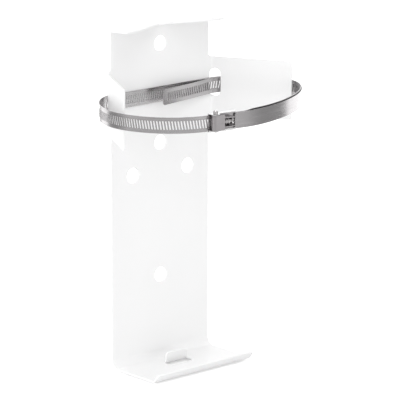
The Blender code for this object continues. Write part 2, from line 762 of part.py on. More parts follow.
def make_pin(collection, material, clamp):
    """Hinge pin with a tall domed head and a flattened tail, turned from one profile."""
    ear = EAR_OUTER + GAP
    profile = [
        (0, ear + PIN_HEAD_HEIGHT),
        (PIN_HEAD_RADIUS - PIN_HEAD_DOME, ear + PIN_HEAD_HEIGHT),
        (PIN_HEAD_RADIUS, ear + PIN_HEAD_HEIGHT - PIN_HEAD_DOME),
        (PIN_HEAD_RADIUS, ear),
        (PIN_RADIUS, ear),
        (PIN_RADIUS, -ear),
        (PIN_HEAD_RADIUS, -ear),
        (PIN_HEAD_RADIUS - PIN_TAIL_HEIGHT, -ear - PIN_TAIL_HEIGHT),
        (0, -ear - PIN_TAIL_HEIGHT),
    ]
    mesh = bpy.data.meshes.new("hinge_pin")
    verts = [(radius, 0, height) for radius, height in profile]
    mesh.from_pydata(verts, [(i, i + 1) for i in range(len(verts) - 1)], [])
    pin = new_object("hinge_pin", mesh, collection, material)
    screw = pin.modifiers.new("turn", "SCREW")
    screw.steps = 24
    screw.render_steps = 24
    screw.use_merge_vertices = True
    screw.merge_threshold = 0.00001
    pin.parent = clamp
    pin.location = (PIN_PLACE, -PIN_OUT, 0)
    return pin


def main():
    """Build the bracket."""
    clear_scene()
    collection = new_collection("cylinder_wall_bracket")
    cutters = new_collection("cutters")
    enamel = new_material("white_powder_coat", (0.86, 0.86, 0.87), 0.45, 0)
    stainless = new_material("stainless_strap", (0.58, 0.57, 0.56), 0.28, 1)
    pressed = new_material("pressed_stainless", (0.5, 0.49, 0.48), 0.35, 1)
    clamp = bpy.data.objects.new("clamp_frame", None)
    collection.objects.link(clamp)
    start = clamp_start()
    clamp.location = (start.x, start.y, STRAP_MIDDLE + CLAMP_LIFT)
    clamp.rotation_euler = (0, 0, CLAMP_ANGLE)
    make_bracket(collection, enamel)
    make_strap(collection, stainless)
    make_saddle(collection, cutters, pressed, clamp)
    make_housing(collection, cutters, pressed, clamp)
    make_worm(collection, cutters, stainless, clamp)
    make_pin(collection, stainless, clamp)
    for obj in list(collection.objects):
        if obj.parent is None:
            obj.location.z -= PLATE_HEIGHT / 2


main()
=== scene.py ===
"""Cylinder wall bracket: finishes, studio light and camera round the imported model.

The folded sheet and the strap are made again with finer edges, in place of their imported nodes.
The clamp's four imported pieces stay, and get rounded edges and steel finishes.
Metres, +Z up, origin at the middle of the plate's rear face, wall at Y = 0.
"""
import math

import bmesh
import bpy
from mathutils import Matrix, Vector
from mathutils.geometry import interpolate_bezier


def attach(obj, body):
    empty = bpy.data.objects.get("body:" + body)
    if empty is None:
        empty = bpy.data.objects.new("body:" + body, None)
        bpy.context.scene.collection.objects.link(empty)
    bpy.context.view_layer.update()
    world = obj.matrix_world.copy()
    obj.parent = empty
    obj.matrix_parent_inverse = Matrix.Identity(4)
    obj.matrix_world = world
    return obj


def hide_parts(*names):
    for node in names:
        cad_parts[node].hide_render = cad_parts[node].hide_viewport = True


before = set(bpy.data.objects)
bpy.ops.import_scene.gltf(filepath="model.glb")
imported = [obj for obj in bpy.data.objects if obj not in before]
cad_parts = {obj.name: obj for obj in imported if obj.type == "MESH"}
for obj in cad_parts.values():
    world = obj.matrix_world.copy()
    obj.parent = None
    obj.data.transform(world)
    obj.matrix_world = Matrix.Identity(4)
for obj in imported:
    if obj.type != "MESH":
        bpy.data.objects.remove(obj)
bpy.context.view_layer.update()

# Camera, solved from the photograph
YAW, PITCH, ROLL = math.radians(41.65), math.radians(13.6), math.radians(0.09)
LENS_MM, SENSOR_MM, CLIP_END = 252, 36, 100
TARGET = Vector((0.0489, -0.00122, -0.01529))
DISTANCE = 2.60166

# Lights: place, aim, size, and power in watts
LIGHTS = {
    "key": ((-2.3, -1.0, 1.0), (0, 0, 0), (1.2, 1.2), 9),
    "top": ((-0.3, -0.9, 2.2), (0, 0, 0), (1.4, 1.4), 12),
    "fill": ((0.3, -2.2, 0.05), (0, 0, -0.1), (1.6, 0.3), 5.5),
    "side": ((-1.8, 0.6, 0.4), (0, 0, 0), (1.0, 1.0), 10),
}
WORLD_LEVEL = 0.78

# Floor, with its glow to the camera and the share of that glow that metal sees
FLOOR_HEIGHT, FLOOR_SPAN = -0.1595, 30
FLOOR_COLOUR, FLOOR_ROUGHNESS = (0.9, 0.9, 0.9, 1), 0.9
FLOOR_WHITE, FLOOR_IN_METAL = 0.5, 0.6

# Ring that the metal reflects, with its even level.
# Its panels: centre, half width and soft edge in degrees from the front, and gain
REFLECTOR_RADIUS, REFLECTOR_BOTTOM, REFLECTOR_TOP, REFLECTOR_STEPS = 0.8, -0.159, 1.4, 48
REFLECTOR_LEVEL = 0.4
REFLECTOR_PANELS = [
    (-70, 25, 35, 0.26),
    (3, 16, 36, 0.26),
    (122, 41, 7, 1.2),
    (-170, 8, 15, 1.2),
]

# Noise: stretches of its coordinates, and the span that holds most of its values
EVEN, FINE_GRAIN, BROAD_GRAIN = (1, 1, 1), (60, 60, 5200), (25, 25, 700)
NOISE_SPAN = (0.3, 0.7)
NOISE_ROUGHNESS = 0.55

# Powder coat: linear colour, gloss and roughness, then its clouds, specks and orange peel
COAT_COLOUR = (0.875, 0.875, 0.876)
COAT_GLOSS, COAT_ROUGHNESS, COAT_ROUGH_SPAN = 0.45, (0.36, 0.5), (0.2, 0.8)
CLOUD_SCALE, CLOUD_TONE = 14, 0.985
SPECK_SCALE, SPECK_TONE, SPECK_SPAN, SPECK_SHARE = 900, 0.9, (0.68, 0.8), 0.35
PEEL_SCALE, PEEL_DEPTH, PEEL_STRENGTH = 620, 0.00012, 0.5

# Steel finishes: linear colour, roughness and strength of the rolling streaks
STEEL_FINISHES = {
    "rolled_strip": ((0.555, 0.54, 0.546), 0.16, 1),
    "pressed_sheet": ((0.4, 0.382, 0.388), 0.34, 0.6),
    # Painted shade: dark, rough steel for the shaded gap between the strap's two layers
    "painted_shade_strip": ((0.14, 0.136, 0.138), 0.5, 0.6),
    # Painted light: light steel for the bright surroundings reflected on the rear strap's inner side
    "painted_light_strip": ((0.8, 0.785, 0.79), 0.24, 1),
    # Darker and rougher steel for the inner layer's inner side under the plain end
    "darker_inner_strip": ((0.45, 0.437, 0.442), 0.32, 1),
    "polished_sheet": ((0.78, 0.775, 0.775), 0.28, 0.5),
    "turned_screw": ((0.62, 0.605, 0.605), 0.24, 0.5),
}
STEEL_ANISOTROPY = 0.3
STREAK_DARKER, STREAK_LIGHTER = 0.14, 0.06
SMUDGE_SCALE, SMUDGE_TONE, SMUDGE_SPAN, SMUDGE_SHARE = 45, 0.86, (0.35, 0.75), 0.5
FINE_ROUGHNESS, BROAD_ROUGHNESS = (-0.05, 0.05), (-0.04, 0.06)
GRAIN_DEPTH, GRAIN_STRENGTH = 0.00003, 0.4

# Clamp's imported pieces: finish and edge rounding
CLAMP_PIECES = {
    "clamp_saddle": ("polished_sheet", 0.00015),
    "clamp_housing": ("pressed_sheet", 0.00015),
    "clamp_worm": ("turned_screw", 0.0001),
    "hinge_pin": ("turned_screw", 0.0002),
}

# Edges
SHARP_ANGLE = math.radians(35)
ROUNDING_SEGMENTS = 2
WELD_DISTANCE, CUT_DISTANCE = 1e-6, 1e-7

# Folded sheet, with the sizes of the solid's source. Heights are from the underside of the shelf.
SHEET = 0.0019
HALF_PLATE = 0.0585
PLATE_HEIGHT = 0.315
EDGE_CORNER = 0.002
LIP_DEPTH, LIP_RADIUS, LIP_ANGLE = 0.0225, 0.002, math.radians(87)
NOTCH_MARGIN, NOTCH_DEPTH, NOTCH_ROUND, NOTCH_SHOULDER = 0.012, 0.0225, 0.01, 0.03
HOLE_RADIUS = 0.00715
HOLES = [(0, 0.2962), (0, 0.2044), (-0.033, 0.178), (0.033, 0.178), (0, 0.0797)]
WING_BOTTOM, WING_TOP, WING_LENGTH = 0.222, 0.2765, 0.0777
WING_ANGLE, WING_RADIUS, WING_OUTSET = math.radians(61.5), 0.0025, 0.0037
WING_CORNER, WING_FILLET = 0.003, 0.004
OPENING_WIDTH, OPENING_HEIGHT, OPENING_MIDDLE, OPENING_INSET = 0.0107, 0.0261, 0.2525, 0.0022
SHELF_RADIUS, SHELF_FLAT, SHELF_CORNER = 0.0075, 0.056, 0.003
SHELF_LIP_LENGTH, SHELF_LIP_RADIUS, SHELF_LIP_ANGLE = 0.0095, 0.003, math.radians(55)
TAB_DISTANCE, TAB_WIDTH, TAB_HEIGHT = 0.019, 0.025, 0.0095
TAB_RADIUS, TAB_CORNER, TAB_GAP = 0.0015, 0.003, 0.0007
BEND_CORNER_X = HALF_PLATE + WING_OUTSET
WING_LINE = BEND_CORNER_X - WING_RADIUS * math.tan(WING_ANGLE / 2)
WING_TIP_X = BEND_CORNER_X + WING_LENGTH * math.cos(WING_ANGLE)
WING_TIP_Y = -SHEET - WING_LENGTH * math.sin(WING_ANGLE)

# Fineness of the folded sheet's mesh. An opening's end is a hair less than a half circle,
# so that its two corners don't meet in one point.
RIM_ROUND, RIM_STEPS = 0.0004, 2
ARC_STEP, BEND_STEP, HOLE_SEGMENTS = math.radians(6), math.radians(4), 72
OPENING_END_ROUND = 0.999

# Strap and clamp, with the sizes of the solid's source
STRAP_WIDTH, STRAP_THICKNESS, STRAP_MIDDLE = 0.0143, 0.0006, 0.25015
STRAP_PLAIN_LENGTH, STRAP_END_CORNER = 0.2, 0.0025
SLOT_PITCH, SLOT_WIDTH, SLOT_HEIGHT, SLOT_LEAN = 0.00265, 0.0012, 0.0073, math.radians(10)
TAIL_END_X, TAIL_SPLAY, TAIL_BEND = -0.0075, 0.178, 0.008
LOOP_CLEAR_LEFT, LOOP_CLEAR_RIGHT = 0.0067, 0.0045
LOOP_WIDEST_LEFT, LOOP_WIDEST_RIGHT = 0.0042, 0.0082
SIDE_PULL, OPENING_PULL, FRONT_LEFT_PULL, CLAMP_LEFT_PULL = 0.034, 0.014, 0.034, 0.022
FRONT_RIGHT_PULL, CLAMP_RIGHT_PULL = 0.042, 0.044
CLAMP_START_X, CLAMP_REACH, CLAMP_ANGLE, CLAMP_SHEET = -0.0555, 0.0593, math.radians(-9), 0.0007
SADDLE_LENGTH, PLAIN_END_PLACE, GAP = 0.0345, 0.026, 0.0003
LAYER = STRAP_THICKNESS + GAP
PLAIN_END_OFFSET = STRAP_THICKNESS + 2 * GAP + CLAMP_SHEET

# The plain end comes down to its layer in a quarter of the way to the plate,
# and the two layers merge in half of the way back from it
LOWERING_RATE, MERGING_RATE = 4, 2

# Fineness of the strap's mesh: steps of each curve, places of the columns at an end by shares
# of its corner, and edge rounding. The rows are the strap's two edges and the slots' two ends.
ROUTE_STEPS = 80
STRAP_END_COLUMNS = (0, 0.05, 0.15, 0.3, 0.5, 0.75, 1)
STRAP_ROUND = 0.00012
STRAP_ROWS = (-STRAP_WIDTH / 2, -SLOT_HEIGHT / 2, SLOT_HEIGHT / 2, STRAP_WIDTH / 2)
EDGE_ROWS, SLOT_ROW = (0, 3), 1

MM = 0.001

# Rise of the strap above its middle height, in mm, by turns of the loop from the plain end.
# As in the photograph it is a little low at the left, its inner layer is high at the right
# and its tail is low.
STRAP_RISES = [
    (0, 0), (0.37, 0), (0.63, -0.8), (0.76, -0.6), (0.88, -0.5), (0.96, 0),
    (1.018, 0), (1.04, 1.2), (1.3, 1.2), (1.37, 0.1), (1.49, -1.5), (1.6, -1.5),
]

# Finishes of the strap, in pairs for its outer and inner side: most of it, the part of the
# inner layer that lies under the plain one, and the part of the outer layer across the plate.
# Under the plain one, the inner layer's outer side is dark steel as painted shade in the gap
# between the layers, and its inner side is darker and rougher than the rest. Across the plate,
# the outer layer's inner side is light steel as painted reflected light.
# The two parts are given by turns of the loop.
STRAP_FINISHES = [
    "rolled_strip", "rolled_strip",
    "painted_shade_strip", "darker_inner_strip",
    "rolled_strip", "painted_light_strip",
]
PAINTED_SHADE_FINISH, REAR_FINISH = 2, 4
PAINTED_SHADE_FROM, PAINTED_SHADE_TO = 1.018, 1.375
REAR_FROM, REAR_TO = 0.375, 0.625


# Nodes and objects

class Nodes:
    """A node tree with short ways to add and join nodes."""

    def __init__(self, tree):
        self.tree = tree

    def node(self, kind, settings=None, **inputs):
        """Add a node; settings are its properties, the inputs are values or sockets."""
        made = self.tree.nodes.new("ShaderNode" + kind)
        for key, value in (settings or {}).items():
            setattr(made, key, value)
        self.fill(made, inputs)
        return made

    def fill(self, node, inputs):
        """Set a node's inputs by their names, with a low line for each space."""
        for key, value in inputs.items():
            self.set(node.inputs[key.replace("_", " ")], value)

    def set(self, socket, value):
        """Give an input a value or a link."""
        if isinstance(value, bpy.types.NodeSocket):
            self.tree.links.new(value, socket)
        else:
            socket.default_value = value

    def noise(self, stretch, scale, detail):
        """Noise on the object's own coordinates, stretched by a vector."""
        place = self.node("TexCoord").outputs["Object"]
        mapped = self.node("Mapping", Vector=place, Scale=stretch).outputs["Vector"]
        look = {"Scale": scale, "Detail": detail, "Roughness": NOISE_ROUGHNESS}
        return self.node("TexNoise", Vector=mapped, **look).outputs["Fac"]

    def ramp(self, value, low, high, to_low, to_high, blend="LINEAR"):
        """Map a number from one range to another, clamped."""
        ranges = {"From_Min": low, "From_Max": high, "To_Min": to_low, "To_Max": to_high}
        made = self.node("MapRange", {"interpolation_type": blend}, Value=value, **ranges)
        return made.outputs["Result"]

    def calc(self, operation, *values):
        """One sum on numbers or sockets."""
        made = self.node("Math", {"operation": operation})
        for socket, value in zip(made.inputs, values):
            self.set(socket, value)
        return made.outputs[0]

    def turn_between(self, angle, centre):
        """Signed way round a circle from one angle to another."""
        return self.calc("WRAP", self.calc("SUBTRACT", angle, centre), math.pi, -math.pi)

    def mix(self, fac, first, second):
        """Mix two colours."""
        made = self.node("Mix", {"data_type": "RGBA"}, Factor=fac, A=first, B=second)
        return made.outputs["Result"]

    def bump(self, height, distance, strength):
        """Bump from a height."""
        made = self.node("Bump", Height=height, Distance=distance, Strength=strength)
        return made.outputs["Normal"]


class Shader(Nodes):
    """A new material and its surface."""

    def __init__(self, name):
        self.material = bpy.data.materials.new(name)
        self.material.use_nodes = True
        super().__init__(self.material.node_tree)

    def surface(self, **inputs):
        """Set the surface's inputs and give the material."""
        self.fill(self.tree.nodes["Principled BSDF"], inputs)
        return self.material

    def glow(self, base, level, **inputs):
        """Matt surface that gives off white light."""
        white = {"Emission_Color": (1, 1, 1, 1), "Emission_Strength": level}
        return self.surface(Base_Color=base, Specular_IOR_Level=0, **white, **inputs)


def rgba(colour, factor):
    """Colour with alpha, scaled."""
    return (*[channel * factor for channel in colour], 1)


def add_object(name, data):
    """Put a new object into the scene."""
    obj = bpy.data.objects.new(name, data)
    bpy.context.scene.collection.objects.link(obj)
    return obj


# Finishes

def powder_coat():
    """White powder coat: faint orange peel, slight mottling and a soft gloss."""
    s = Shader("white_powder_coat")
    cloud = s.noise(EVEN, CLOUD_SCALE, detail=4)
    speck = s.noise(EVEN, SPECK_SCALE, detail=2)
    peel = s.noise(EVEN, PEEL_SCALE, detail=2)
    dark, light = rgba(COAT_COLOUR, CLOUD_TONE), rgba(COAT_COLOUR, 1)
    tone = s.mix(s.ramp(cloud, *NOISE_SPAN, 0, 1), dark, light)
    specked = s.ramp(speck, *SPECK_SPAN, 0, SPECK_SHARE)
    return s.surface(
        Base_Color=s.mix(specked, tone, rgba(COAT_COLOUR, SPECK_TONE)),
        Roughness=s.ramp(speck, *COAT_ROUGH_SPAN, *COAT_ROUGHNESS),
        Specular_IOR_Level=COAT_GLOSS,
        Normal=s.bump(peel, PEEL_DEPTH, PEEL_STRENGTH),
    )


def rolled_steel(name, colour, rough, streak):
    """Rolled stainless sheet: streaks along the strip, smudges and a satin sheen."""
    s = Shader(name)
    fine = s.noise(FINE_GRAIN, 1, detail=3)
    broad = s.noise(BROAD_GRAIN, 1, detail=2)
    smudge = s.noise(EVEN, SMUDGE_SCALE, detail=3)
    dark, light = rgba(colour, 1 - STREAK_DARKER * streak), rgba(colour, 1 + STREAK_LIGHTER * streak)
    tone = s.mix(s.ramp(fine, *NOISE_SPAN, 0, 1), dark, light)
    smudged = s.ramp(smudge, *SMUDGE_SPAN, 0, SMUDGE_SHARE)
    fine_part = s.ramp(fine, *NOISE_SPAN, *FINE_ROUGHNESS)
    broad_part = s.ramp(broad, *NOISE_SPAN, *BROAD_ROUGHNESS)
    return s.surface(
        Base_Color=s.mix(smudged, tone, rgba(colour, SMUDGE_TONE)),
        Metallic=1,
        Roughness=s.calc("ADD", s.calc("ADD", fine_part, broad_part), rough),
        Anisotropic=STEEL_ANISOTROPY,
        Normal=s.bump(fine, GRAIN_DEPTH, GRAIN_STRENGTH * streak),
    )


coat = powder_coat()
steel = {name: rolled_steel(name, *finish) for name, finish in STEEL_FINISHES.items()}


# Edges and shading

def smooth_group():
    """Node group that shades a mesh smooth, apart from its sharp edges."""
    group = bpy.data.node_groups.new("smooth_by_angle", "GeometryNodeTree")
    for way in ("INPUT", "OUTPUT"):
        group.interface.new_socket("Geometry", in_out=way, socket_type="NodeSocketGeometry")
    group.is_modifier = True
    start = group.nodes.new("NodeGroupInput")
    end = group.nodes.new("NodeGroupOutput")
    angle = group.nodes.new("GeometryNodeInputMeshEdgeAngle")
    soft = group.nodes.new("FunctionNodeCompare")
    soft.operation = "LESS_THAN"
    soft.inputs["B"].default_value = SHARP_ANGLE
    edges = group.nodes.new("GeometryNodeSetShadeSmooth")
    edges.domain = "EDGE"
    faces = group.nodes.new("GeometryNodeSetShadeSmooth")
    faces.domain = "FACE"
    group.links.new(angle.outputs["Unsigned Angle"], soft.inputs["A"])
    group.links.new(start.outputs[0], edges.inputs["Geometry"])
    group.links.new(soft.outputs["Result"], edges.inputs["Shade Smooth"])
    group.links.new(edges.outputs[0], faces.inputs["Geometry"])
    group.links.new(faces.outputs[0], end.inputs[0])
    return group


smooth_by_angle = smooth_group()


def soften(obj, rounding):
    """Round an object's edges by a small radius, or by none, and shade its bends smooth."""
    weld = obj.modifiers.new("weld", "WELD")
    weld.merge_threshold = WELD_DISTANCE
    if rounding:
        bevel = obj.modifiers.new("edge_rounding", "BEVEL")
        bevel.width = rounding
        bevel.segments = ROUNDING_SEGMENTS
        bevel.limit_method = "ANGLE"
        bevel.angle_limit = SHARP_ANGLE
        bevel.use_clamp_overlap = False
        bevel.miter_outer = "MITER_ARC"
    shade = obj.modifiers.new("smooth", "NODES")
    shade.node_group = smooth_by_angle
    normals = obj.modifiers.new("normals", "WEIGHTED_NORMAL")
    normals.keep_sharp = True


def dress(node, material, rounding):
    """Give a CAD node a material, rounded edges and smooth bends."""
    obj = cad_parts[node]
    obj.data.materials.clear()
    obj.data.materials.append(material)
    soften(obj, rounding)


# Folded sheet

def rounded_outline(corners):
    """Closed outline through (x, y, radius) corners, each rounded by its radius."""
    points = []
    for index, (x, y, radius) in enumerate(corners):
        corner = Vector((x, y))
        if radius <= 0:
            points.append(corner)
            continue
        back = (Vector(corners[index - 1][:2]) - corner).normalized()
        ahead = (Vector(corners[(index + 1) % len(corners)][:2]) - corner).normalized()
        half = back.angle(ahead) / 2
        sweep = math.pi - 2 * half
        if back.x * ahead.y - back.y * ahead.x > 0:
            sweep = -sweep
        centre = corner + (back + ahead).normalized() * radius / math.sin(half)
        arm = corner + back * radius / math.tan(half) - centre
        steps = max(1, math.ceil(abs(sweep) / ARC_STEP))
        for step in range(steps + 1):
            points.append(centre + Matrix.Rotation(sweep * step / steps, 2) @ arm)
    return points


def circle_outline(x, y, radius):
    """Closed round outline."""
    angles = [2 * math.pi * step / HOLE_SEGMENTS for step in range(HOLE_SEGMENTS)]
    return [Vector((x + radius * math.cos(a), y + radius * math.sin(a))) for a in angles]


def flat_blank(name, outlines):
    """Mesh of the flat sheet in XY, with rounded rims.

    The first outline is its edge and the others are holes.
    """
    curve = bpy.data.curves.new(name, "CURVE")
    curve.dimensions = "2D"
    curve.fill_mode = "BOTH"
    curve.extrude = SHEET / 2 - RIM_ROUND
    curve.bevel_depth = RIM_ROUND
    curve.bevel_resolution = RIM_STEPS
    curve.offset = -RIM_ROUND
    for outline in outlines:
        spline = curve.splines.new("POLY")
        spline.points.add(len(outline) - 1)
        spline.use_cyclic_u = True
        for point, place in zip(spline.points, outline):
            point.co = (place.x, place.y, 0, 1)
    obj = add_object(name, curve)
    view = bpy.context.evaluated_depsgraph_get()
    mesh = bpy.data.meshes.new_from_object(obj.evaluated_get(view))
    bpy.data.objects.remove(obj, do_unlink=True)
    bpy.data.curves.remove(curve)
    mesh.name = name
    return mesh


def fold(run, depth, radius, angle):
    """Bend a sheet towards its front face.

    run is the way past the bend line along the flat sheet, depth the way behind its front face.
    """
    if run <= 0:
        return run, depth
    arc = radius * angle
    turned = min(run, arc) / radius
    straight = max(run - arc, 0)
    along = (radius + depth) * math.sin(turned) + straight * math.cos(turned)
    behind = (radius + depth) * math.cos(turned) - radius - straight * math.sin(turned)
    return along, behind


def crease_lines(start, radius, angle):
    """Places of the cuts that let a flat sheet follow one bend."""
    steps = math.ceil(angle / BEND_STEP)
    return [start + radius * angle * step / steps for step in range(steps + 1)]


def crease(work, axis, places):
    """Cut a flat sheet across an axis at each place."""
    normal = Vector((0, 0, 0))
    normal[axis] = 1
    for place in places:
        everything = work.verts[:] + work.edges[:] + work.faces[:]
        bmesh.ops.bisect_plane(
            work, geom=everything, dist=CUT_DISTANCE, plane_co=normal * place, plane_no=normal
        )


def shelf_run(distance):
    """Way along the flat sheet, past the shelf's bend line, to a distance in front of the plate."""
    return distance - SHELF_RADIUS + SHELF_RADIUS * math.pi / 2


# Lines of the flat sheet: heights and a half width before it is folded,
# and for the front lip, the tab and its window the way past the shelf's bend line
SHELF_LINE = SHEET + SHELF_RADIUS
TOP_LINE = PLATE_HEIGHT - SHEET - LIP_RADIUS
BLANK_TOP = TOP_LINE + LIP_RADIUS * LIP_ANGLE + LIP_DEPTH - LIP_RADIUS
SHELF_LIP_LINE = shelf_run(SHELF_FLAT)
BLANK_BOTTOM = SHELF_LINE - SHELF_LIP_LINE - SHELF_LIP_LENGTH
TAB_LINE = shelf_run(TAB_DISTANCE)
TAB_LENGTH = TAB_HEIGHT - TAB_RADIUS + TAB_RADIUS * math.pi / 2
WINDOW_END = TAB_LINE + TAB_LENGTH + TAB_GAP
BLANK_TIP = WING_LINE + WING_RADIUS * WING_ANGLE + WING_LENGTH - (BEND_CORNER_X - WING_LINE)


def blank_edge():
    """Outer edge of the flat sheet, from its right half and the mirror image of that."""
    right = [
        (HALF_PLATE, BLANK_BOTTOM, SHELF_CORNER),
        (HALF_PLATE, WING_BOTTOM, WING_FILLET),
        (BLANK_TIP, WING_BOTTOM, WING_CORNER),
        (BLANK_TIP, WING_TOP, WING_CORNER),
        (HALF_PLATE, WING_TOP, WING_FILLET),
        (HALF_PLATE, BLANK_TOP, EDGE_CORNER),
        (HALF_PLATE - NOTCH_MARGIN, BLANK_TOP, NOTCH_SHOULDER),
    ]
    notch = [(0, BLANK_TOP - NOTCH_DEPTH, NOTCH_ROUND)]
    left = [(-x, y, radius) for x, y, radius in reversed(right)]
    return rounded_outline(right + notch + left)


def strap_opening(side):
    """Opening for the strap, across the bend line of one wing."""
    inner = BEND_CORNER_X - OPENING_INSET
    half = OPENING_HEIGHT / 2
    radius = OPENING_WIDTH / 2 * OPENING_END_ROUND
    corners = [
        (inner, OPENING_MIDDLE - half, radius),
        (inner + OPENING_WIDTH, OPENING_MIDDLE - half, radius),
        (inner + OPENING_WIDTH, OPENING_MIDDLE + half, radius),
        (inner, OPENING_MIDDLE + half, radius),
    ]
    return rounded_outline([(side * x, y, r) for x, y, r in corners])


def tab_cut():
    """Thin cut that frees the tab on three sides."""
    root = SHELF_LINE - TAB_LINE + TAB_GAP
    tip = SHELF_LINE - TAB_LINE - TAB_LENGTH
    half = TAB_WIDTH / 2
    outside = half + TAB_GAP
    return rounded_outline([
        (outside, root, 0),
        (half, root, 0),
        (half, tip, TAB_CORNER),
        (-half, tip, TAB_CORNER),
        (-half, root, 0),
        (-outside, root, 0),
        (-outside, tip - TAB_GAP, 0),
        (outside, tip - TAB_GAP, 0),
    ])


def is_on_tab(x, run):
    """Whether a point of the flat shelf belongs to the tab, whose edges lie inside the cut."""
    margin = TAB_GAP / 2
    return abs(x) < TAB_WIDTH / 2 + margin and TAB_LINE < run < WINDOW_END - margin


def fold_point(x, height, depth):
    """Place of one point of the flat sheet on the folded bracket."""
    if height < SHELF_LINE:
        run = SHELF_LINE - height
        if is_on_tab(x, run):
            extra, depth = fold(run - TAB_LINE, depth, TAB_RADIUS, math.pi / 2)
            run = TAB_LINE + extra
        elif run > SHELF_LIP_LINE:
            extra, depth = fold(run - SHELF_LIP_LINE, depth, SHELF_LIP_RADIUS, SHELF_LIP_ANGLE)
            run = SHELF_LIP_LINE + extra
        run, depth = fold(run, depth, SHELF_RADIUS, math.pi / 2)
        return Vector((x, depth - SHEET, SHELF_LINE - run))
    if height > TOP_LINE:
        run, depth = fold(height - TOP_LINE, depth, LIP_RADIUS, LIP_ANGLE)
        return Vector((x, depth - SHEET, TOP_LINE + run))
    if abs(x) > WING_LINE:
        run, depth = fold(abs(x) - WING_LINE, depth, WING_RADIUS, WING_ANGLE)
        x = math.copysign(WING_LINE + run, x)
    return Vector((x, depth - SHEET, height))


def make_bracket():
    """The folded sheet with rounded rims and finely stepped bends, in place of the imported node."""
    outlines = [blank_edge(), strap_opening(1), strap_opening(-1), tab_cut()]
    outlines += [circle_outline(x, height, HOLE_RADIUS) for x, height in HOLES]
    mesh = flat_blank("folded_bracket", outlines)
    work = bmesh.new()
    work.from_mesh(mesh)
    bmesh.ops.remove_doubles(work, verts=work.verts, dist=WELD_DISTANCE)
    wing_creases = crease_lines(WING_LINE, WING_RADIUS, WING_ANGLE)
    crease(work, 0, wing_creases + [-place for place in wing_creases])
    crease(work, 1, crease_lines(TOP_LINE, LIP_RADIUS, LIP_ANGLE))
    shelf_creases = crease_lines(0, SHELF_RADIUS, math.pi / 2)
    shelf_creases += crease_lines(SHELF_LIP_LINE, SHELF_LIP_RADIUS, SHELF_LIP_ANGLE)
    shelf_creases += crease_lines(TAB_LINE, TAB_RADIUS, math.pi / 2)
    crease(work, 1, [SHELF_LINE - place for place in shelf_creases])
    for vert in work.verts:
        vert.co = fold_point(vert.co.x, vert.co.y, SHEET / 2 - vert.co.z)
        vert.co.z -= PLATE_HEIGHT / 2
    bmesh.ops.recalc_face_normals(work, faces=work.faces)
    work.to_mesh(mesh)
    work.free()
    mesh.materials.clear()
    mesh.materials.append(coat)
    obj = add_object("folded_bracket", mesh)
    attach(obj, "wall_frame")
    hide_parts("bracket")
    soften(obj, 0)


# Strap

def strap_route():
    """Closed route of the inner strap layer, seen from above, from the plain end round to it.

    It starts on the clamp, whose left end is at start on the slotted strap's middle surface.
    The second value is how far the route's ends across the plate lie from the middle.
    """
    along = Vector((math.cos(CLAMP_ANGLE), math.sin(CLAMP_ANGLE)))
    start = Vector((CLAMP_START_X, WING_TIP_Y - CLAMP_REACH))
    plain_end = start + along * PLAIN_END_PLACE
    saddle_end = start + along * SADDLE_LENGTH
    rear_y = -SHEET - GAP - STRAP_THICKNESS / 2 - LAYER
    rear_right = Vector((BEND_CORNER_X - OPENING_INSET, rear_y))
    rear_left = Vector((-rear_right.x, rear_y))
    right = Vector((WING_TIP_X + LOOP_CLEAR_RIGHT, WING_TIP_Y + LOOP_WIDEST_RIGHT))
    left = Vector((-WING_TIP_X - LOOP_CLEAR_LEFT, WING_TIP_Y + LOOP_WIDEST_LEFT))
    back = Vector((0, 1))
    aside = Vector((1, 0))
    curves = [
        (saddle_end, saddle_end + along * CLAMP_RIGHT_PULL, right - back * FRONT_RIGHT_PULL, right),
        (right, right + back * SIDE_PULL, rear_right + aside * OPENING_PULL, rear_right),
        (rear_left, rear_left - aside * OPENING_PULL, left + back * SIDE_PULL, left),
        (left, left - back * FRONT_LEFT_PULL, start - along * CLAMP_LEFT_PULL, start),
    ]
    points = [plain_end]
    for curve in curves:
        points += interpolate_bezier(*[knot.to_3d() for knot in curve], ROUTE_STEPS)
    points.append(plain_end)
    return [Vector((point[0], point[1])) for point in points], rear_right.x


def route_lengths(route):
    """Running length at each point of a route."""
    lengths = [0]
    for before, after in zip(route, route[1:]):
        lengths.append(lengths[-1] + (after - before).length)
    return lengths


def smooth_step(value):
    """Ease from 0 to 1."""
    value = min(max(value, 0), 1)
    return value * value * (3 - 2 * value)


